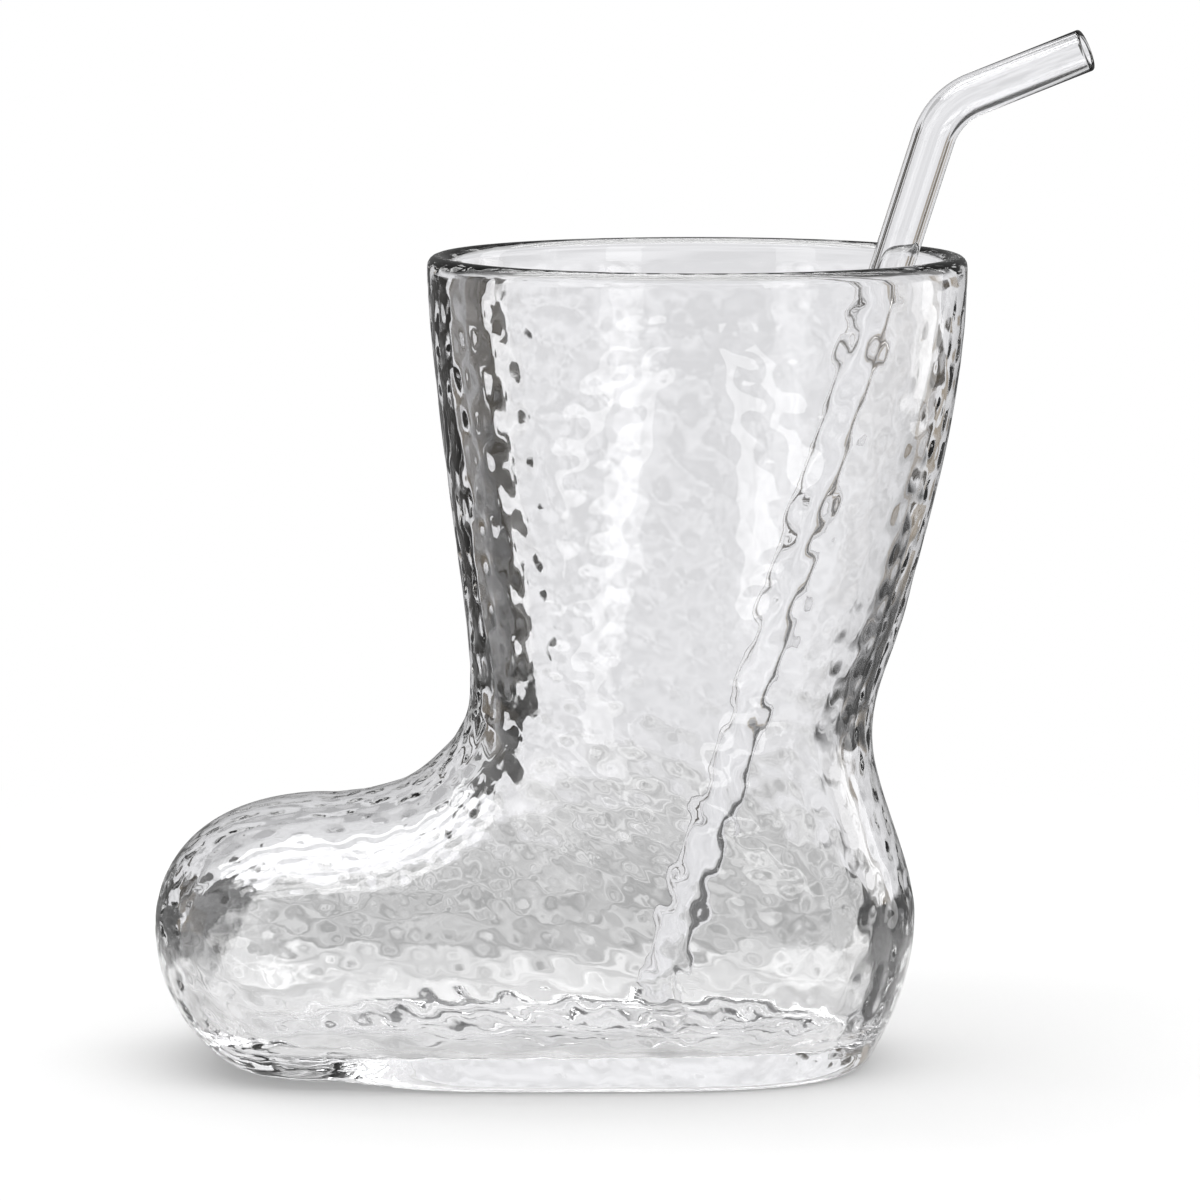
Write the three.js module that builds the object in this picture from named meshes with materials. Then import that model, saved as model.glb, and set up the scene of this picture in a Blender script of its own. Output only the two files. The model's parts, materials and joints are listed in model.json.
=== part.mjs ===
// A boot-shaped drinking glass of thick clear glass, with a loose bent glass straw standing in it.
// Millimetres, +Z up. The origin is on the table, under the middle of the round rim.
// The toe points along -X and the heel along +X. The boot is symmetric about the XZ plane.

import * as THREE from 'three';
import { LoftGeometry } from 'three/addons/geometries/LoftGeometry.js';

// Glass of the boot
const WALL = 4;
const FLOOR = 6.5;
const SOLE_EDGE = 2;
const FLOOR_EDGE = 6;

// Rim, a circle round the origin
const RIM_DIAMETER = 98.4;
const RIM_HEIGHT = 149;

// Leg, between the rim and the ankle: front and back lines as distances from the rim's axis
const LEG_TOP = { front: 47.3, frontHeight: 122.5, back: 46.4, backHeight: 118, width: 93 };
const LEG_MIDDLE = { front: 44.6, frontHeight: 100, back: 38.6, backHeight: 85, width: 82 };
const ANKLE = { front: 42.2, frontHeight: 81, back: 32.4, backHeight: 60, width: 73 };

// Foot: the heel's bulge, the instep and the toe
const HEEL = { front: 41.6, frontHeight: 71, back: 40.4, backHeight: 27.5, width: 72 };
const HEEL_CORNER = { front: 41.9, frontHeight: 66.3, back: 33.3, backHeight: 2.4, width: 72 };
const SOLE_BACK = { front: 43, frontHeight: 62.6, back: 18, backHeight: -13, width: 72.5 };
const SOLE_MIDDLE = { front: 46.5, frontHeight: 57.6, back: -10, backHeight: -15, width: 73 };
const INSTEP = { front: 54.5, frontHeight: 51.5, back: -42, backHeight: -13, width: 73 };
const TOE = { front: 68, frontHeight: 48.9, back: -68, backHeight: -5, width: 72 };
const TOE_REACH = 99.8;
const TOE_TIP_HEIGHT = 25.5;

// How far a section swells out of an ellipse towards a rounded rectangle
const FOOT_FULLNESS = 0.12;
const ANKLE_FULLNESS = 0.05;
const LEG_FULLNESS = 0;

// Straw: a bent tube, stood on the floor and leaned on the rim
const STRAW_DIAMETER = 8;
const STRAW_WALL = 1.2;
const STRAW_LEG = 169;
const STRAW_ARM = 22.5;
const STRAW_BEND_RADIUS = 13;
const STRAW_BEND_ANGLE = 51;
const STRAW_FOOT_X = -7;
const STRAW_FOOT_Y = 20;
const STRAW_RIM_ANGLE = 25;
const STRAW_ARM_TURN = -17;
const SEAT_CLEARANCE = 0.3;

// Facets
const BOOT_SIDES = 40;
const SOLE_BIAS = 0.25;
const FOOT_RINGS = 4;
const LEG_RINGS = 2;
const TOE_RINGS = 6;
const LIP_STEPS = 5;
const STRAW_SIDES = 20;
const BEND_STEPS = 7;
const STRAW_LIP_STEPS = 4;

const GLASS = { color: 0xf1f4f3, roughness: 0.03, metalness: 0, transparent: true, opacity: 0.35 };

// The boot is lofted like a sock: each section is a closed curve in a slanted plane, from a point on the
// front line (toe, instep, shin) to a point on the back line (sole, heel, calf).
function section(size, fullness) {
  return {
    front: new THREE.Vector3(-size.front, 0, size.frontHeight),
    back: new THREE.Vector3(size.back, 0, size.backHeight),
    shape: new THREE.Vector3(size.width / 2, fullness, 0),
  };
}

const rimRadius = RIM_DIAMETER / 2;
const lipRadius = WALL / 2;
const lipHeight = RIM_HEIGHT - lipRadius;
const rim = {
  front: rimRadius,
  frontHeight: lipHeight,
  back: rimRadius,
  backHeight: lipHeight,
  width: RIM_DIAMETER,
};

const ankle = section(ANKLE, ANKLE_FULLNESS);
const sections = [
  section(TOE, FOOT_FULLNESS),
  section(INSTEP, FOOT_FULLNESS),
  section(SOLE_MIDDLE, FOOT_FULLNESS),
  section(SOLE_BACK, FOOT_FULLNESS),
  section(HEEL_CORNER, FOOT_FULLNESS),
  section(HEEL, ANKLE_FULLNESS),
  ankle,
  section(LEG_MIDDLE, LEG_FULLNESS),
  section(LEG_TOP, LEG_FULLNESS),
  section(rim, LEG_FULLNESS),
];

// A copy of a section, mirrored across the plane of another, so that the lines run square through that one.
function mirroredAcross(middle, outer, axis) {
  const copy = { front: outer.front.clone(), back: outer.back.clone(), shape: outer.shape.clone() };
  for (const end of ['front', 'back']) copy[end][axis] = 2 * middle[end][axis] - outer[end][axis];
  return copy;
}

const last = sections.length - 1;
const guides = [
  mirroredAcross(sections[0], sections[1], 'x'),
  ...sections,
  mirroredAcross(sections[last], sections[last - 1], 'z'),
];
const lineThrough = (key) =>
  new THREE.CatmullRomCurve3(guides.map((guide) => guide[key]), false, 'catmullrom', 0.5);
const frontLine = lineThrough('front');
const backLine = lineThrough('back');
const shapeLine = lineThrough('shape');

const FIRST_STATION = 1;
const ANKLE_STATION = FIRST_STATION + sections.indexOf(ankle);
const LAST_STATION = sections.length;
const swollen = (main, other, fullness) => main * (1 + fullness * other * other);

// The toe cap rounds the first section off to the tip, as the quarter of an ellipse.
function toeCap(station) {
  const turn = (station * Math.PI) / 2;
  const reach = Math.cos(turn);
  const rise = Math.sin(turn);
  const first = sections[0];
  const x = first.front.x - (TOE_REACH - TOE.front) * reach;
  const up = (TOE.frontHeight - TOE_TIP_HEIGHT) * swollen(rise, reach, FOOT_FULLNESS);
  const down = (TOE_TIP_HEIGHT - TOE.backHeight) * rise;
  return {
    front: new THREE.Vector3(x, 0, TOE_TIP_HEIGHT + up),
    back: new THREE.Vector3(x, 0, TOE_TIP_HEIGHT - down),
    shape: new THREE.Vector3(first.shape.x * swollen(rise, reach, FOOT_FULLNESS), FOOT_FULLNESS, 0),
  };
}

function sectionAt(station) {
  if (station < FIRST_STATION) return toeCap(station);
  const t = station / (guides.length - 1);
  return { front: frontLine.getPoint(t), back: backLine.getPoint(t), shape: shapeLine.getPoint(t) };
}

// A point of the outer skin, before the sole is flattened. Angle 0 is on the front line.
function skin(station, angle) {
  const { front, back, shape } = sectionAt(station);
  const along = swollen(Math.cos(angle), Math.sin(angle), shape.y);
  const across = swollen(Math.sin(angle), Math.cos(angle), shape.y);
  const point = front.clone().add(back).multiplyScalar(0.5);
  point.addScaledVector(front.clone().sub(back).multiplyScalar(0.5), along);
  point.y = shape.x * across;
  return point;
}

// The skin's outward direction and the direction along the boot towards the rim.
function directions(station, angle) {
  const step = 1e-3;
  const onward = skin(station + step, angle).sub(skin(station - step, angle));
  const round = skin(station, angle + step).sub(skin(station, angle - step));
  const outward = onward.clone().cross(round).normalize();
  return { outward, onward: round.clone().cross(outward).normalize() };
}

// Flattens what lies under a level, with a round edge of the given radius.
function flattened(point, level, edge) {
  const above = point.z - level;
  if (above <= -edge) point.z = level;
  else if (above < edge) point.z = level + (above + edge) ** 2 / (4 * edge);
  return point;
}

const outerPoint = (station, angle) => flattened(skin(station, angle), 0, SOLE_EDGE);

function innerPoint(station, angle) {
  const { outward } = directions(station, angle);
  return flattened(skin(station, angle).addScaledVector(outward, -WALL), FLOOR, FLOOR_EDGE);
}

// A half-round lip joins the outer and the inner skin at the rim.
function lipPoint(turn, angle) {
  const { outward, onward } = directions(LAST_STATION, angle);
  return skin(LAST_STATION, angle)
    .addScaledVector(outward, lipRadius * (Math.cos(turn) - 1))
    .addScaledVector(onward, lipRadius * Math.sin(turn));
}

// The facets round a section are finer on the side of the sole.
function ring(pointAt) {
  const points = [];
  for (let side = 0; side < BOOT_SIDES; side++) {
    const turn = (side / BOOT_SIDES) * Math.PI * 2;
    points.push(pointAt(-turn - SOLE_BIAS * Math.sin(turn)));
  }
  return points;
}

function bootGlass() {
  const stations = [];
  for (let i = 0; i < TOE_RINGS; i++) stations.push(i / TOE_RINGS);
  for (let station = FIRST_STATION; station < LAST_STATION; station++) {
    const rings = station < ANKLE_STATION ? FOOT_RINGS : LEG_RINGS;
    for (let i = 0; i < rings; i++) stations.push(station + i / rings);
  }
  stations.push(LAST_STATION);

  const outside = stations.map((station) => ring((angle) => outerPoint(station, angle)));
  const inside = stations.map((station) => ring((angle) => innerPoint(station, angle))).reverse();
  const lip = [];
  for (let i = 1; i < LIP_STEPS; i++) {
    lip.push(ring((angle) => lipPoint((i / LIP_STEPS) * Math.PI, angle)));
  }
  const geometry = new LoftGeometry([...outside, ...lip, ...inside]);
  const mesh = new THREE.Mesh(geometry, new THREE.MeshStandardMaterial(GLASS));
  mesh.name = 'boot_glass';
  return mesh;
}

// The straw stands along its own +Z from the middle of its lower end, and bends towards its own +X.
// Each ring is square to the middle line: at a place on it, turned by the bend so far.
function strawRing(place, turn, radius) {
  const points = [];
  for (let side = 0; side < STRAW_SIDES; side++) {
    const angle = (side / STRAW_SIDES) * Math.PI * 2;
    const point = new THREE.Vector3(radius * Math.cos(angle), radius * Math.sin(angle), 0);
    points.push(point.applyAxisAngle(new THREE.Vector3(0, 1, 0), turn).add(place));
  }
  return points;
}

function strawMiddleLine() {
  const bend = THREE.MathUtils.degToRad(STRAW_BEND_ANGLE);
  const stops = [{ place: new THREE.Vector3(0, 0, STRAW_WALL / 2), turn: 0 }];
  for (let i = 0; i <= BEND_STEPS; i++) {
    const turn = (bend * i) / BEND_STEPS;
    const x = STRAW_BEND_RADIUS * (1 - Math.cos(turn));
    const z = STRAW_LEG + STRAW_BEND_RADIUS * Math.sin(turn);
    stops.push({ place: new THREE.Vector3(x, 0, z), turn });
  }
  const arm = new THREE.Vector3(Math.sin(bend), 0, Math.cos(bend));
  const mouth = stops[stops.length - 1].place.clone().addScaledVector(arm, STRAW_ARM - STRAW_WALL / 2);
  stops.push({ place: mouth, turn: bend });
  return stops;
}

function strawTube() {
  const outerRadius = STRAW_DIAMETER / 2;
  const boreRadius = outerRadius - STRAW_WALL;
  const middleRadius = outerRadius - STRAW_WALL / 2;
  const stops = strawMiddleLine();
  const top = stops[stops.length - 1];
  const foot = stops[0];

  const outside = stops.map(({ place, turn }) => strawRing(place, turn, outerRadius));
  const bore = stops.map(({ place, turn }) => strawRing(place, turn, boreRadius)).reverse();
  const roundEnd = ({ place, turn }, from) => {
    const rings = [];
    const axis = new THREE.Vector3(Math.sin(turn), 0, Math.cos(turn));
    for (let i = 1; i < STRAW_LIP_STEPS; i++) {
      const sweep = from + (i / STRAW_LIP_STEPS) * Math.PI;
      const spot = place.clone().addScaledVector(axis, (STRAW_WALL / 2) * Math.sin(sweep));
      rings.push(strawRing(spot, turn, middleRadius + (STRAW_WALL / 2) * Math.cos(sweep)));
    }
    return rings;
  };
  const rings = [...outside, ...roundEnd(top, 0), ...bore, ...roundEnd(foot, Math.PI), outside[0]];
  const mesh = new THREE.Mesh(new LoftGeometry(rings), new THREE.MeshStandardMaterial(GLASS));
  mesh.name = 'straw';
  return mesh;
}

// The straw's lower end clears the floor, and its side clears the lip, by the seat clearance.
function standingStraw() {
  const strawRadius = STRAW_DIAMETER / 2;
  const rimAngle = THREE.MathUtils.degToRad(STRAW_RIM_ANGLE);
  const atRim = new THREE.Vector3(Math.cos(rimAngle), Math.sin(rimAngle), 0);
  const foot = new THREE.Vector3(STRAW_FOOT_X, STRAW_FOOT_Y, FLOOR);
  const lean = new THREE.Vector3();
  let reach = rimRadius - WALL - strawRadius;
  for (let round = 0; round < 8; round++) {
    lean.copy(atRim).multiplyScalar(reach).setZ(lipHeight).sub(foot).normalize();
    foot.z = FLOOR + SEAT_CLEARANCE + strawRadius * Math.hypot(lean.x, lean.y);
    // The lip is a half-round bead, so the straw's side is square to the lean where it meets the bead.
    const slope = lean.dot(atRim);
    reach = rimRadius - lipRadius - (lipRadius + strawRadius + SEAT_CLEARANCE) / Math.sqrt(1 - slope * slope);
  }
  const turn = THREE.MathUtils.degToRad(STRAW_ARM_TURN);
  const ahead = new THREE.Vector3(Math.cos(turn), Math.sin(turn), 0);
  const side = lean.clone().cross(ahead).normalize();
  const group = new THREE.Group();
  group.setRotationFromMatrix(new THREE.Matrix4().makeBasis(side.clone().cross(lean), side, lean));
  group.position.copy(foot);
  group.add(strawTube());
  return group;
}

const bootWithStraw = new THREE.Group();
bootWithStraw.add(bootGlass(), standingStraw());

export default bootWithStraw;
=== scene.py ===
import json
import math
import random

import bpy
from mathutils import Matrix, Vector
from mathutils.kdtree import KDTree


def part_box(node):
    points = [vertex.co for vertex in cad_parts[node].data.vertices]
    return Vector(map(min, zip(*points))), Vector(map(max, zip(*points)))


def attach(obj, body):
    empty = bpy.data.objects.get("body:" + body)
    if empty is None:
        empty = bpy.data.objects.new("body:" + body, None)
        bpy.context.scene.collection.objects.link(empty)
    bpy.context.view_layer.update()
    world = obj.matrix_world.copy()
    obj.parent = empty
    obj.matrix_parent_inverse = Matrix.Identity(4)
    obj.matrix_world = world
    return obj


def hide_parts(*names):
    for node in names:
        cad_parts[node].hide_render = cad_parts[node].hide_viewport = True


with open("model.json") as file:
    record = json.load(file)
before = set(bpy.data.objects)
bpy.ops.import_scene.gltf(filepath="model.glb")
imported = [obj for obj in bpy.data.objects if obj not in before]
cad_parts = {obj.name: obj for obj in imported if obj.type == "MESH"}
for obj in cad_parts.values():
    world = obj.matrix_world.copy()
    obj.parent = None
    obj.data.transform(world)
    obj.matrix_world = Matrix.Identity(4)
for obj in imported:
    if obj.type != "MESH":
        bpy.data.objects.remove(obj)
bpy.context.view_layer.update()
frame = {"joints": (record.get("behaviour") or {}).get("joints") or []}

scene = bpy.context.scene


# The cup
# One piece of thick clear glass, blown into a boot-shaped mould and fire-polished at the lip.
# The mould's hammered dimples cover its outside from the lip to the sole.
# Inside, its walls are smooth and its floor is uneven.

boot_low, boot_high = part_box("boot_glass")
RIM_RADIUS = boot_high.x
RIM_HEIGHT = boot_high.z
TOE_TIP = Vector((boot_low.x, 0, 0.0255))
WALL = 0.004
FLOOR = 0.0065
LIP_RADIUS = WALL / 2

# Sections of the boot, from the toe to the rim: a point on the front line (toe, instep, shin), a point on
# the back line (sole, heel, calf), the width, and the swelling towards a rounded rectangle.
# Below the table the back line is that of the round foot before its sole is flattened.
BOOT_SECTIONS = [
    ((-0.0680, 0.0489), (-0.0680, -0.0050), 0.0720, 0.12),
    ((-0.0545, 0.0515), (-0.0420, -0.0130), 0.0730, 0.12),
    ((-0.0465, 0.0576), (-0.0100, -0.0150), 0.0730, 0.12),
    ((-0.0430, 0.0626), (0.0180, -0.0130), 0.0725, 0.12),
    ((-0.0419, 0.0663), (0.0333, 0.0024), 0.0720, 0.12),
    ((-0.0416, 0.0710), (0.0404, 0.0275), 0.0720, 0.05),
    ((-0.0422, 0.0810), (0.0324, 0.0600), 0.0730, 0.05),
    ((-0.0446, 0.1000), (0.0386, 0.0850), 0.0820, 0.0),
    ((-0.0473, 0.1225), (0.0464, 0.1180), 0.0930, 0.0),
    ((-RIM_RADIUS, RIM_HEIGHT - LIP_RADIUS), (RIM_RADIUS, RIM_HEIGHT - LIP_RADIUS), 2 * RIM_RADIUS, 0.0),
]


def mixed(before, start, end, after, t):
    """A point of the smooth curve from start to end, with its neighbours before and after."""
    slope_in = (end - before) / 2
    slope_out = (after - start) / 2
    return (
        start * (2 * t**3 - 3 * t**2 + 1)
        + slope_in * (t**3 - 2 * t**2 + t)
        + end * (3 * t**2 - 2 * t**3)
        + slope_out * (t**3 - t**2)
    )


def section_values(section):
    (front_x, front_z), (back_x, back_z), width, fullness = section
    return Vector((front_x, front_z, back_x, back_z, width / 2, fullness))


def boot_guides():
    """The sections, with one more past each end that makes the lines run square through the end ones."""
    guides = [section_values(section) for section in BOOT_SECTIONS]
    ahead = guides[1].copy()
    ahead[0] = 2 * guides[0][0] - guides[1][0]
    ahead[2] = 2 * guides[0][2] - guides[1][2]
    past = guides[-2].copy()
    past[1] = 2 * guides[-1][1] - guides[-2][1]
    past[3] = 2 * guides[-1][3] - guides[-2][3]
    return [ahead, *guides, past]


GUIDES = boot_guides()
LAST_STATION = len(BOOT_SECTIONS)


def swollen(main, other, fullness):
    return main * (1 + fullness * other * other)


def toe_cap(station):
    """Below station 1 the first section is rounded off to the tip of the toe, like the end of an egg."""
    reach = math.cos(station * math.pi / 2)
    rise = math.sin(station * math.pi / 2)
    front_x, front_z, _, back_z, half_width, fullness = GUIDES[1]
    x = front_x + (TOE_TIP.x - front_x) * reach
    full_rise = swollen(rise, reach, fullness)
    top = TOE_TIP.z + (front_z - TOE_TIP.z) * full_rise
    bottom = TOE_TIP.z + (back_z - TOE_TIP.z) * rise
    return Vector((x, top, x, bottom, half_width * full_rise, fullness))


def section_at(station):
    if station < 1:
        return toe_cap(station)
    index = min(int(station), LAST_STATION - 1)
    return mixed(*GUIDES[index - 1 : index + 3], station - index)


def skin_point(station, angle):
    """A point of the outer skin before the sole is flattened. Angle 0 is on the front line."""
    front_x, front_z, back_x, back_z, half_width, fullness = section_at(station)
    along = swollen(math.cos(angle), math.sin(angle), fullness)
    across = swollen(math.sin(angle), math.cos(angle), fullness)
    x = (front_x + back_x) / 2 + (front_x - back_x) / 2 * along
    z = (front_z + back_z) / 2 + (front_z - back_z) / 2 * along
    return Vector((x, half_width * across, z))


def skin_outward(station, angle):
    step = 1e-3
    onward = skin_point(station + step, angle) - skin_point(station - step, angle)
    around = skin_point(station, angle + step) - skin_point(station, angle - step)
    return onward.cross(around).normalized()


def flattened(point, level, edge):
    """Flattens what lies under a level, with a round edge."""
    above = point.z - level
    if above <= -edge:
        point.z = level
    elif above < edge:
        point.z = level + (above + edge) ** 2 / (4 * edge)
    return point


def share(value):
    """A value kept between 0 and 1."""
    return max(0.0, min(1.0, value))


# The hollow under the sole is full where the round foot would reach SOLE_DEPTH below the sole's edge.
SOLE_EDGE = 0.002
SOLE_HOLLOW = 0.0006
SOLE_DEPTH = 0.012
FLOOR_EDGE = 0.006


def outer_point(station, angle):
    """A point of the outside. The sole is a little hollow, so that the cup stands on its edge."""
    skin = skin_point(station, angle)
    inside_edge = share((-skin.z - SOLE_EDGE) / SOLE_DEPTH)
    point = flattened(skin, 0, SOLE_EDGE)
    point.z += SOLE_HOLLOW * math.sin(inside_edge * math.pi / 2) ** 2
    return point


def inner_point(station, angle):
    inward = skin_outward(station, angle) * -WALL
    return flattened(skin_point(station, angle) + inward, FLOOR, FLOOR_EDGE)


def lip_point(turn, angle):
    just_below_rim = LAST_STATION - 0.01
    outward = skin_outward(just_below_rim, angle)
    outward.z = 0
    outward.normalize()
    rise = Vector((0, 0, LIP_RADIUS * math.sin(turn)))
    return skin_point(LAST_STATION, angle) + outward * LIP_RADIUS * (math.cos(turn) - 1) + rise


# The points of the mesh: how many go round the boot, and how many rings there are on each part of it.
SIDES = 240
OUTER_RINGS = {"toe": 40, "foot": 140, "leg": 84}
INNER_RINGS = {"toe": 24, "foot": 90, "leg": 20}
LIP_RINGS = 9
ANKLE_STATION = 7

# The hammered dimples: shallow six-sided bowls side by side, pressed into the outside like a honeycomb.
# Depth, ridges and their width are shares of the spacing, which is smaller on the foot than at the lip.
# The dimples are bolder below FOOT_TOP. A band under the lip and the foot's lowest edge are plain.
FOOT_SPACING = 0.0044
LIP_SPACING = 0.0062
DIMPLE_SEED = 7
DIMPLE_SETTLING = 4
DIMPLE_NEIGHBOURS = 5
DIMPLE_DEPTH = 0.0252
RIDGE_HEIGHT = 0.0086
RIDGE_WIDTH = 0.3
FOOT_BOLDNESS = 1.5
FOOT_TOP = 0.075
FLOOR_SHARE = 1.4
FLOOR_TOP = 0.022
PLAIN_LIP = 0.005
PLAIN_BASE = 0.003
FADE = 0.0015


def below_lip(point):
    return share((RIM_HEIGHT - PLAIN_LIP - point.z) / FADE)


def above_base(point):
    return share((point.z - PLAIN_BASE) / FADE)


def dimple_spacing(point):
    return FOOT_SPACING + (LIP_SPACING - FOOT_SPACING) * point.z / RIM_HEIGHT


def boldness(point):
    """How much deeper the dimples are than on the leg: most at the sole, and less up the foot."""
    return 1 + (FOOT_BOLDNESS - 1) * max(0.0, 1 - point.z / FOOT_TOP)


def inside_share(point):
    """How deep the inside is pressed, next to the outside: most on the floor, and nothing on the walls."""
    return FLOOR_SHARE * share((FLOOR_TOP - point.z) / (FLOOR_TOP - FLOOR))


def tree_of(points):
    tree = KDTree(len(points))
    for index, point in enumerate(points):
        tree.insert(point, index)
    tree.balance()
    return tree


def dimple_centres(points):
    """Points of the outside picked at random, none of them nearer to another than the spacing."""
    tree = tree_of(points)
    order = list(range(len(points)))
    random.Random(DIMPLE_SEED).shuffle(order)
    centres = []
    covered = set()
    for index in order:
        if index not in covered:
            centres.append(points[index])
            spacing = dimple_spacing(points[index])
            covered.update(near for _, near, _ in tree.find_range(points[index], spacing))
    return centres


def settled(centres, points):
    """Moves each centre to the middle of the points round it, so that the dimples are nearly alike."""
    tree = tree_of(centres)
    groups = [[] for _ in centres]
    for point in points:
        groups[tree.find(point)[1]].append(point)
    return [sum(group, Vector()) / len(group) for group in groups]


def dimple_press(point, centre_tree):
    """How far the glass is pressed in: a bowl about each centre, with soft ridges between them."""
    spacing = dimple_spacing(point)
    width = RIDGE_WIDTH * spacing
    nearest = centre_tree.find_n(point, DIMPLE_NEIGHBOURS)
    bells = [math.exp(-((distance / width) ** 2)) for _, _, distance in nearest]
    press = DIMPLE_DEPTH + RIDGE_HEIGHT * math.log(sum(bells))
    return max(0.0, press) * spacing * boldness(point) * below_lip(point)


def stations(rings):
    """Stations from the toe to the rim, each part of the boot with its own number of rings."""
    spans = [(0, 1, "toe"), (1, ANKLE_STATION, "foot"), (ANKLE_STATION, LAST_STATION, "leg")]
    places = []
    for start, end, part in spans:
        count = rings[part]
        places += [start + (end - start) * (i + 1) / count for i in range(count)]
    return places


def outside_rings(angles, smooth, centre_tree):
    """The smooth rings of the outside with the dimples pressed in."""
    rings = []
    for station, smooth_ring in zip(stations(OUTER_RINGS), smooth):
        ring = []
        for angle, point in zip(angles, smooth_ring):
            press = dimple_press(point, centre_tree) * above_base(point)
            ring.append(point - skin_outward(station, angle) * press)
        rings.append(ring)
    return rings


def inside_rings(angles, centre_tree):
    """The rings of the inside, whose floor is as uneven as the outside below it."""
    rings = []
    for station in stations(INNER_RINGS):
        ring = []
        for angle in angles:
            point = inner_point(station, angle)
            press = dimple_press(outer_point(station, angle), centre_tree) * inside_share(point)
            ring.append(point - skin_outward(station, angle) * press)
        rings.append(ring)
    return rings


def boot_rings():
    """Rings of points from the toe outside, up over the lip and down to the toe inside."""
    angles = [2 * math.pi * side / SIDES for side in range(SIDES)]
    smooth = [[outer_point(station, angle) for angle in angles] for station in stations(OUTER_RINGS)]
    points = [point for ring in smooth for point in ring]
    centres = dimple_centres(points)
    for _ in range(DIMPLE_SETTLING):
        centres = settled(centres, points)
    centre_tree = tree_of(centres)
    turns = [math.pi * i / LIP_RINGS for i in range(1, LIP_RINGS)]
    lip = [[lip_point(turn, angle) for angle in angles] for turn in turns]
    return outside_rings(angles, smooth, centre_tree) + lip + inside_rings(angles, centre_tree)[::-1]


def skin_faces(rings):
    """Faces of the closed skin: quads from ring to ring and a fan at each tip."""
    faces = []
    for ring in range(rings - 1):
        low = 1 + ring * SIDES
        for side in range(SIDES):
            after = (side + 1) % SIDES
            faces.append((low + after, low + side, low + SIDES + side, low + SIDES + after))
    inner_tip = 1 + rings * SIDES
    last = inner_tip - SIDES
    for side in range(SIDES):
        after = (side + 1) % SIDES
        faces.append((0, 1 + side, 1 + after))
        faces.append((last + after, last + side, inner_tip))
    return faces


def make_boot():
    rings = boot_rings()
    points = [TOE_TIP]
    for ring in rings:
        points += ring
    points.append(TOE_TIP + Vector((WALL, 0, 0)))
    mesh = bpy.data.meshes.new("boot")
    mesh.from_pydata(points, [], skin_faces(len(rings)))
    mesh.shade_smooth()
    boot = bpy.data.objects.new("boot", mesh)
    scene.collection.objects.link(boot)
    return boot


GLASS_TINT = (0.99, 0.99, 0.992)
GLASS_SHADOW = 0.92
GLASS_IOR = 1.5


def mixed_shader(tree, factor, first, second):
    mix = tree.nodes.new("ShaderNodeMixShader")
    tree.links.new(factor, mix.inputs["Fac"])
    tree.links.new(first, mix.inputs[1])
    tree.links.new(second, mix.inputs[2])
    return mix.outputs["Shader"]


def clear_glass(name):
    """Clear glass. Light goes through it to the table, so its shadow is as pale as that of real glass."""
    material = bpy.data.materials.new(name)
    material.use_nodes = True
    tree = material.node_tree
    glass = tree.nodes["Principled BSDF"]
    glass.inputs["Base Color"].default_value = (*GLASS_TINT, 1)
    glass.inputs["Roughness"].default_value = 0
    glass.inputs["IOR"].default_value = GLASS_IOR
    glass.inputs["Transmission Weight"].default_value = 1
    through = tree.nodes.new("ShaderNodeBsdfTransparent")
    through.inputs["Color"].default_value = (GLASS_SHADOW, GLASS_SHADOW, GLASS_SHADOW, 1)
    path = tree.nodes.new("ShaderNodeLightPath")
    in_shadow = path.outputs["Is Shadow Ray"]
    surface = mixed_shader(tree, in_shadow, glass.outputs["BSDF"], through.outputs["BSDF"])
    tree.links.new(surface, tree.nodes["Material Output"].inputs["Surface"])
    return material


boot = make_boot()
boot.data.materials.append(clear_glass("clear boot glass"))
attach(boot, "cup")
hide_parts("boot_glass")


# The straw
# A length of drawn clear glass tube, bent hot near one end, with both ends fire-polished.
# It stands loose in the cup and leans on the rim.

STRAW_RADIUS = 0.004
STRAW_WALL = 0.0012
STRAW_POLISH = 0.45 * STRAW_WALL
STRAW_LEG = 0.169
STRAW_ARM = 0.0225
STRAW_BEND_RADIUS = 0.013
STRAW_BEND = math.radians(51)
STRAW_FOOT = Vector((-0.007, 0.020, 0.00801))
STRAW_ARM_TURN = math.radians(-17)
STRAW_SIDES = 64
STRAW_BEND_STEPS = 24
STRAW_POLISH_STEPS = 5
STRAW_POLISH_ANGLE = math.radians(60)


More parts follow.
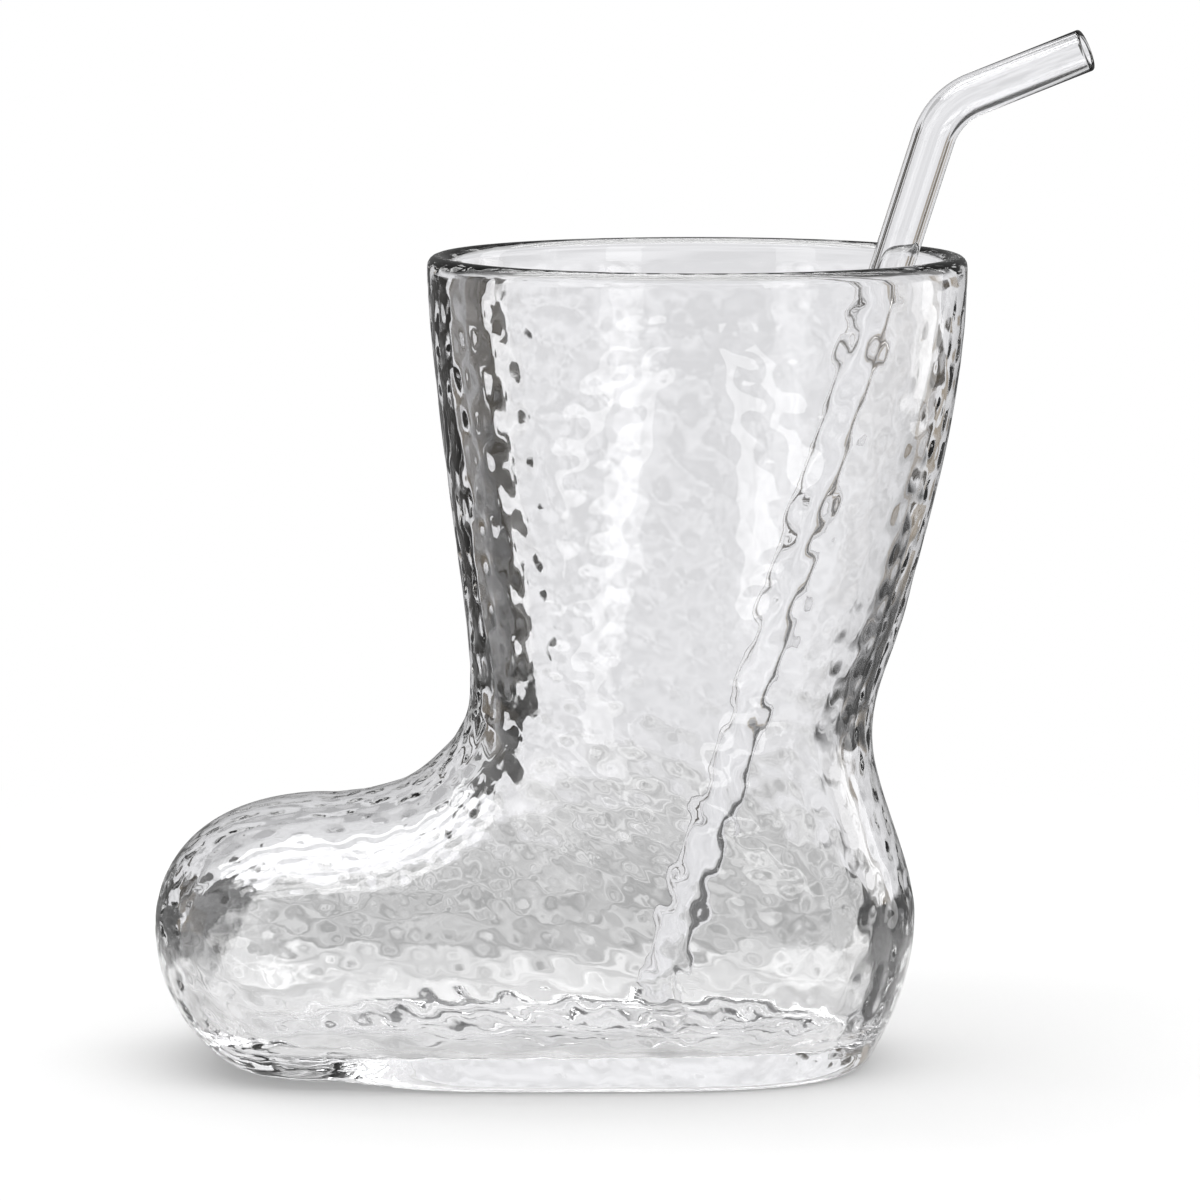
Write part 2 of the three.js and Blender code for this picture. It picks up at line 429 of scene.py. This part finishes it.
def make_straw():
    """A circle drawn out into a tube: up its leg, round its bend, along its arm."""
    bpy.ops.object.select_all(action="DESELECT")
    bpy.ops.mesh.primitive_circle_add(vertices=STRAW_SIDES, radius=STRAW_RADIUS)
    straw = bpy.context.object
    straw.name = "straw_tube"
    bpy.ops.object.mode_set(mode="EDIT")
    bpy.ops.mesh.select_all(action="SELECT")
    bpy.ops.mesh.extrude_region_move(TRANSFORM_OT_translate={"value": (0, 0, STRAW_LEG)})
    bpy.ops.mesh.spin(
        steps=STRAW_BEND_STEPS,
        angle=-STRAW_BEND,
        center=(STRAW_BEND_RADIUS, 0, STRAW_LEG),
        axis=(0, 1, 0),
    )
    arm = Vector((math.sin(STRAW_BEND), 0, math.cos(STRAW_BEND))) * STRAW_ARM
    bpy.ops.mesh.extrude_region_move(TRANSFORM_OT_translate={"value": arm})
    bpy.ops.mesh.select_all(action="SELECT")
    bpy.ops.mesh.remove_doubles(threshold=1e-6)
    bpy.ops.mesh.normals_make_consistent(inside=False)
    bpy.ops.object.mode_set(mode="OBJECT")
    wall = straw.modifiers.new("wall", "SOLIDIFY")
    wall.thickness = STRAW_WALL
    wall.offset = -1
    bpy.ops.object.modifier_apply(modifier=wall.name)
    polish = straw.modifiers.new("fire polish", "BEVEL")
    polish.width = STRAW_POLISH
    polish.segments = STRAW_POLISH_STEPS
    polish.limit_method = "ANGLE"
    polish.angle_limit = STRAW_POLISH_ANGLE
    bpy.ops.object.modifier_apply(modifier=polish.name)
    bpy.ops.object.shade_smooth()
    return straw


def stand_straw(straw):
    """Stands the straw on the floor of the cup, leaned along the way it lifts out."""
    lean = Vector(frame["joints"][0]["axis"]).normalized()
    ahead = Vector((math.cos(STRAW_ARM_TURN), math.sin(STRAW_ARM_TURN), 0))
    side = lean.cross(ahead).normalized()
    turn = Matrix((side.cross(lean), side, lean)).transposed().to_4x4()
    straw.matrix_world = Matrix.Translation(STRAW_FOOT) @ turn
    bpy.ops.object.transform_apply(location=True, rotation=True, scale=True)


straw = make_straw()
stand_straw(straw)
straw.data.materials.append(clear_glass("clear straw glass"))
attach(straw, "straw")
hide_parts("straw")


# The table
# A plain pale table top. Further off it is plain white to the camera, so that it has no edge.
# The glass shows it glowing with painted light, in painted bands of light and shade,
# with a painted shade beyond the toe and one beyond the heel, and painted blotches.

TABLE_HALF = 6
TABLE_DROP = 0.0002
TABLE_GREY = 0.9
TABLE_ROUGHNESS = 0.7
TABLE_SHINE = 0.1

# Distances from the middle of the foot are measured shorter along the boot than across it.
FOOT_MIDDLE = -0.03
FOOT_NARROWING = 0.62

# Distances at which the table starts to fade and is gone: to the camera, in the gloss of the glass and
# through the glass.
CAMERA_FADE = (0.14, 0.32)
GLOSS_FADE = (0.08, 0.16)
GLASS_FADE = (0.3, 0.42)

# Painted light and shade on the table as the glass shows it: its grey at distances behind the middle of the
# cup.
PAINTED_TABLE_BANDS = [(0.0, 0.74), (0.04, 0.86), (0.1, 0.9), (0.106, 0.6), (0.25, 0.66), (0.28, 0.74), (1.0, 0.76)]

# The shade beyond the toe, which starts a little behind the cup: places along X and the light left there.
TOE_SHADE = [(-0.16, 0.2), (-0.118, 0.25), (-0.1, 1)]
TOE_SHADE_REACH = 0.2
TOE_SHADE_START = (0.03, 0.06)

# The shade beyond the heel, with a slanted edge, which ends at the front of the cup.
HEEL_SHADE = (0.034, 0.044)
HEEL_SHADE_LIGHT = 0.1
HEEL_SLANT = 0.17
HEEL_SHADE_END = (-0.01, -0.03)

# Painted blotches of light and shade on the table, as the glass shows them.
PAINTED_TABLE_BLOTCHES = 50
PAINTED_TABLE_BLOTCH_LIGHT = (0.66, 1.13)
MOTTLE_RANGE = (0.35, 0.65)


def ramp(tree, value, span, light=(0, 1), smooth=False):
    """Goes from the first to the second light as the value goes along the span."""
    node = tree.nodes.new("ShaderNodeMapRange")
    if smooth:
        node.interpolation_type = "SMOOTHSTEP"
    for name, number in zip(("From Min", "From Max", "To Min", "To Max"), (*span, *light)):
        node.inputs[name].default_value = number
    tree.links.new(value, node.inputs["Value"])
    return node.outputs["Result"]


def math_of(tree, operation, *values):
    """The result of one operation on sockets and plain numbers."""
    node = tree.nodes.new("ShaderNodeMath")
    node.operation = operation
    for place, value in enumerate(values):
        if isinstance(value, (int, float)):
            node.inputs[place].default_value = value
        else:
            tree.links.new(value, node.inputs[place])
    return node.outputs[0]


def greys(tree, value, stops):
    """Greys at their stops along a value from 0 to 1."""
    node = tree.nodes.new("ShaderNodeValToRGB")
    elements = node.color_ramp.elements
    while len(elements) < len(stops):
        elements.new(0.5)
    for element, (position, grey) in zip(elements, stops):
        element.position = position
        element.color = (grey, grey, grey, 1)
    tree.links.new(value, node.inputs["Fac"])
    return node.outputs["Color"]


def mottle(tree, place, scale, light=(0, 1)):
    """Soft blotches between two lights."""
    noise = tree.nodes.new("ShaderNodeTexNoise")
    noise.inputs["Scale"].default_value = scale
    tree.links.new(place, noise.inputs["Vector"])
    return ramp(tree, noise.outputs["Fac"], MOTTLE_RANGE, light)


def distance_from_foot(tree, place):
    narrowed = tree.nodes.new("ShaderNodeMapping")
    narrowed.inputs["Location"].default_value = (-FOOT_MIDDLE * FOOT_NARROWING, 0, 0)
    narrowed.inputs["Scale"].default_value = (FOOT_NARROWING, 1, 1)
    tree.links.new(place, narrowed.inputs["Vector"])
    length = tree.nodes.new("ShaderNodeVectorMath")
    length.operation = "LENGTH"
    tree.links.new(narrowed.outputs["Vector"], length.inputs[0])
    return length.outputs["Value"]


def toe_shade(tree, x, y):
    """The light left by the shade beyond the toe."""
    along = ramp(tree, x, (-TOE_SHADE_REACH, TOE_SHADE_REACH))
    stops = [((place + TOE_SHADE_REACH) / (2 * TOE_SHADE_REACH), light) for place, light in TOE_SHADE]
    behind = tree.nodes.new("ShaderNodeMix")
    behind.data_type = "RGBA"
    behind.inputs["A"].default_value = (1, 1, 1, 1)
    tree.links.new(ramp(tree, y, TOE_SHADE_START), behind.inputs["Factor"])
    tree.links.new(greys(tree, along, stops), behind.inputs["B"])
    return behind.outputs["Result"]


def heel_shade(tree, x, y):
    """The light left by the shade beyond the heel."""
    slanted = math_of(tree, "MULTIPLY_ADD", y, -HEEL_SLANT, x)
    by_heel = ramp(tree, slanted, HEEL_SHADE, (1, HEEL_SHADE_LIGHT))
    return math_of(tree, "MAXIMUM", ramp(tree, y, HEEL_SHADE_END), by_heel)


def painted_table_through_glass(tree, place):
    """Painted light on the table as the glass shows it: bands of light and shade, the two shades and the
    blotches.
    """
    split = tree.nodes.new("ShaderNodeSeparateXYZ")
    tree.links.new(place, split.inputs[0])
    x = split.outputs["X"]
    y = split.outputs["Y"]
    banded = tree.nodes.new("ShaderNodeVectorMath")
    banded.operation = "MULTIPLY"
    tree.links.new(greys(tree, y, PAINTED_TABLE_BANDS), banded.inputs[0])
    tree.links.new(toe_shade(tree, x, y), banded.inputs[1])
    mottled = tree.nodes.new("ShaderNodeVectorMath")
    mottled.operation = "SCALE"
    tree.links.new(banded.outputs[0], mottled.inputs[0])
    tree.links.new(mottle(tree, place, PAINTED_TABLE_BLOTCHES, PAINTED_TABLE_BLOTCH_LIGHT), mottled.inputs["Scale"])
    # The painted light glows as emission, dimmed by the painted shade beyond the heel.
    shown = tree.nodes.new("ShaderNodeEmission")
    tree.links.new(mottled.outputs[0], shown.inputs["Color"])
    tree.links.new(heel_shade(tree, x, y), shown.inputs["Strength"])
    return shown.outputs["Emission"]


def table_material():
    material = bpy.data.materials.new("pale table")
    material.use_nodes = True
    tree = material.node_tree
    top = tree.nodes["Principled BSDF"]
    top.inputs["Base Color"].default_value = (TABLE_GREY, TABLE_GREY, TABLE_GREY, 1)
    top.inputs["Roughness"].default_value = TABLE_ROUGHNESS
    top.inputs["Specular IOR Level"].default_value = TABLE_SHINE
    place = tree.nodes.new("ShaderNodeTexCoord").outputs["Object"]
    path = tree.nodes.new("ShaderNodeLightPath")
    white = tree.nodes.new("ShaderNodeEmission").outputs["Emission"]
    room = tree.nodes.new("ShaderNodeBsdfTransparent").outputs["BSDF"]
    distance = distance_from_foot(tree, place)
    in_gloss = ramp(tree, distance, GLOSS_FADE, smooth=True)
    gone = math_of(
        tree,
        "MAXIMUM",
        ramp(tree, distance, CAMERA_FADE, smooth=True),
        math_of(tree, "MULTIPLY", path.outputs["Is Glossy Ray"], in_gloss),
    )
    far = mixed_shader(tree, path.outputs["Is Camera Ray"], room, white)
    seen = mixed_shader(tree, gone, top.outputs["BSDF"], far)
    beyond = ramp(tree, distance, GLASS_FADE)
    # Through the glass the table glows with painted light and shade, gone further off.
    through = mixed_shader(tree, beyond, painted_table_through_glass(tree, place), room)
    surface = mixed_shader(tree, path.outputs["Is Transmission Ray"], seen, through)
    tree.links.new(surface, tree.nodes["Material Output"].inputs["Surface"])
    return material


bpy.ops.object.select_all(action="DESELECT")
bpy.ops.mesh.primitive_plane_add(size=2 * TABLE_HALF, location=(0, 0, -TABLE_DROP))
table = bpy.context.object
table.name = "table"
table.data.materials.append(table_material())


# The room
# A white backdrop and a dim studio. The camera sees the backdrop as plain white, and the glass shows it
# mottled, with the black and grey cards that stand round the cup to draw its edges.

# Cards: left, right, lower and upper edge in degrees from the middle of the backdrop, and their grey.
BLACK_CARDS = [
    (-36, -7.8, -13, 0, 0.01),
    (-48, -40, -14, 10, 0.15),
    (-80, -54, -20, 12, 0.3),
    (-54, -36, 5.5, 15, 0.05),
    (-36, -22, 5.5, 8.8, 0.05),
    (22, 33, -14, -7.8, 0.35),
    (36, 47, -13, -7.8, 0.05),
    (47, 80, -20, 12, 0.2),
]
GREY_CARDS = [
    (-60, 60, 18, 34, 0.5),
    (-181, -110, -91, 91, 0.65),
    (110, 181, -91, 91, 0.65),
]
CARD_SOFTNESS = 0.5
BLACK_TINT = (1.15, 1.0, 0.82)
BACKDROP_DARK = 0.75
BACKDROP_LIGHT = 0.92
BACKDROP_TINT = (0.995, 0.995, 1.015)
BACKDROP_MOTTLE = 22
ROOM_GREY = 0.15


def plain_light(tree, grey, tint=(1, 1, 1)):
    background = tree.nodes.new("ShaderNodeBackground")
    background.inputs["Color"].default_value = (*(grey * channel for channel in tint), 1)
    return background.outputs["Background"]


def between(tree, angle, low, high):
    """1 between two angles and 0 outside them, with soft edges."""
    past_low = ramp(tree, angle, (low - CARD_SOFTNESS, low + CARD_SOFTNESS), smooth=True)
    before_high = ramp(tree, angle, (high + CARD_SOFTNESS, high - CARD_SOFTNESS), smooth=True)
    return math_of(tree, "MINIMUM", past_low, before_high)


def backdrop_through_glass(tree):
    """The mottled backdrop with its cards, as the glass shows it."""
    direction = tree.nodes.new("ShaderNodeTexCoord").outputs["Generated"]
    split = tree.nodes.new("ShaderNodeSeparateXYZ")
    tree.links.new(direction, split.inputs[0])
    turn = math_of(tree, "ARCTAN2", split.outputs["X"], split.outputs["Y"])
    azimuth = math_of(tree, "DEGREES", turn)
    elevation = math_of(tree, "DEGREES", math_of(tree, "ARCSINE", split.outputs["Z"]))
    shown = mixed_shader(
        tree,
        mottle(tree, direction, BACKDROP_MOTTLE),
        plain_light(tree, BACKDROP_DARK, BACKDROP_TINT),
        plain_light(tree, BACKDROP_LIGHT, BACKDROP_TINT),
    )
    for cards, tint in ((BLACK_CARDS, BLACK_TINT), (GREY_CARDS, BACKDROP_TINT)):
        for left, right, low, high, card_grey in cards:
            across = between(tree, azimuth, left, right)
            upright = between(tree, elevation, low, high)
            card = math_of(tree, "MINIMUM", across, upright)
            shown = mixed_shader(tree, card, shown, plain_light(tree, card_grey, tint))
    return shown


def room_light():
    world = bpy.data.worlds.new("studio")
    scene.world = world
    world.use_nodes = True
    tree = world.node_tree
    tree.nodes.clear()
    path = tree.nodes.new("ShaderNodeLightPath")
    dim = plain_light(tree, ROOM_GREY)
    room = mixed_shader(tree, path.outputs["Is Transmission Ray"], dim, backdrop_through_glass(tree))
    seen = mixed_shader(tree, path.outputs["Is Camera Ray"], room, plain_light(tree, 1))
    output = tree.nodes.new("ShaderNodeOutputWorld")
    tree.links.new(seen, output.inputs["Surface"])


room_light()


# The lights
# Soft boxes: strips overhead, whose gaps break up the gloss on the instep, a box on each side in front,
# one behind for the rim, and strips on the table in front, which stand as bright columns in the leg.

CUP_MIDDLE = (0, 0, 0.08)

# Name, place, width, height and watts.
SOFT_BOXES = [
    ("left front box", (-0.84, -0.71, 0.42), 0.42, 0.6, 1.2),
    ("right front box", (0.63, -0.9, 0.42), 0.36, 0.6, 1.3),
    ("right rim box", (0.9, 0.45, 0.25), 0.3, 0.8, 1.2),
]

TOP_STRIP_PLACES = (-0.75, -0.25, 0.25, 0.75)
TOP_STRIP_HEIGHT = 1.5
TOP_STRIP_LENGTH = 3.2
TOP_STRIP_WIDTH = 0.25
TOP_STRIP_WATTS = 11.2

# Places along X and Y, and watts.
LOW_STRIPS = [(-0.26, -0.33, 0.2), (-0.14, -0.33, 0.2), (0.1, -0.35, 0.23), (0.2, -0.35, 0.23)]
LOW_STRIP_HEIGHT = 0.005
LOW_STRIP_WIDTH = 0.055
LOW_STRIP_LENGTH = 0.4


def soft_box(name, place, target, width, height, watts):
    data = bpy.data.lights.new(name, "AREA")
    data.shape = "RECTANGLE"
    data.size = width
    data.size_y = height
    data.energy = watts
    light = bpy.data.objects.new(name, data)
    light.location = place
    light.rotation_euler = (Vector(target) - Vector(place)).to_track_quat("-Z", "Y").to_euler()
    scene.collection.objects.link(light)
    return light


for strip_y in TOP_STRIP_PLACES:
    place = (0, strip_y, TOP_STRIP_HEIGHT)
    soft_box("top strip", place, (0, strip_y, 0), TOP_STRIP_LENGTH, TOP_STRIP_WIDTH, TOP_STRIP_WATTS)

for name, place, width, height, watts in SOFT_BOXES:
    soft_box(name, place, CUP_MIDDLE, width, height, watts)

# The low strips show as gloss on the glass, and not through it.
for strip_x, strip_y, watts in LOW_STRIPS:
    place = (strip_x, strip_y, LOW_STRIP_HEIGHT)
    strip = soft_box("low strip", place, (strip_x, strip_y, 1), LOW_STRIP_WIDTH, LOW_STRIP_LENGTH, watts)
    strip.visible_transmission = False


# The camera
# It stands side-on to the boot and a little above its rim, far away with a long lens.

CAMERA_PLACE = Vector((-0.0177, -1.05, 0.2227))
CAMERA_PITCH = math.radians(7.45)

# Half the picture's width and the lens's length, in pixels of the photograph.
HALF_PICTURE = 600
LENS_LENGTH = 5767

camera_data = bpy.data.cameras.new("camera")
camera_data.angle = 2 * math.atan(HALF_PICTURE / LENS_LENGTH)
camera = bpy.data.objects.new("camera", camera_data)
camera.location = CAMERA_PLACE
camera.rotation_euler = (math.pi / 2 - CAMERA_PITCH, 0, 0)
scene.collection.objects.link(camera)
scene.camera = camera

# Light goes many times to and fro in the thick walls of the glass.
scene.view_settings.view_transform = "Standard"
scene.cycles.max_bounces = 48
scene.cycles.transmission_bounces = 32
scene.cycles.glossy_bounces = 16
scene.cycles.transparent_max_bounces = 24
scene.cycles.caustics_refractive = False
scene.cycles.caustics_reflective = False
